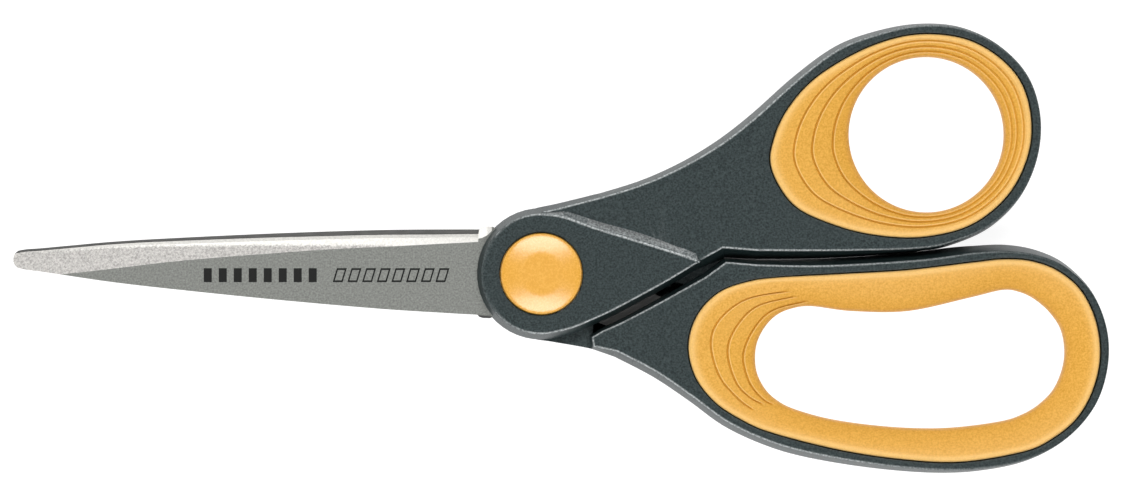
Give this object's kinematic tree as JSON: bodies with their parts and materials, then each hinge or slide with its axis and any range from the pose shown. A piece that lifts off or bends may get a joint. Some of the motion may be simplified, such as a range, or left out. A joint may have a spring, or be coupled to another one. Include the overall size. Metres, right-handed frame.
{
  "type": "scissors",
  "caption": "General-purpose office scissors with straight tapered blades, a round thumb loop and a long finger loop, both lined with soft grips, turning on a capped pivot screw.",
  "frame": {"origin": "on the pivot axis, at the flat face of the back cap that the scissors lie on", "axes": "+Z along the pivot axis out of the front face, +X from the pivot to the handles, so the blades point to -X, +Y towards the thumb loop"},
  "size_m": [0.2033, 0.0834, 0.0126],
  "materials": {
    "blade_steel": "grey non-stick coating, bare ground bevels",
    "handle_plastic": "fine texture, satin",
    "grip_rubber": "soft matte, moulded grooves",
    "cap_plastic": "smooth satin",
    "screw_steel": "turned, plated",
    "nylon": "natural nylon"
  },
  "bodies": {
    "back_half": {"back_blade": "blade_steel", "finger_handle": "handle_plastic", "finger_grip": "grip_rubber", "back_cap": "cap_plastic", "pivot_screw": "screw_steel", "lock_nut": "screw_steel", "spring_washer": "screw_steel", "glide_washer": "nylon"},
    "front_half": {"front_blade": "blade_steel", "thumb_handle": "handle_plastic", "thumb_grip": "grip_rubber", "front_cap": "cap_plastic"}
  },
  "joints": [
    {"name": "pivot", "type": "hinge", "parent": "back_half", "child": "front_half", "pos_m": [0, 0, 0.0063], "axis": [0, 0, 1], "range_deg": [0, 75]}
  ]
}
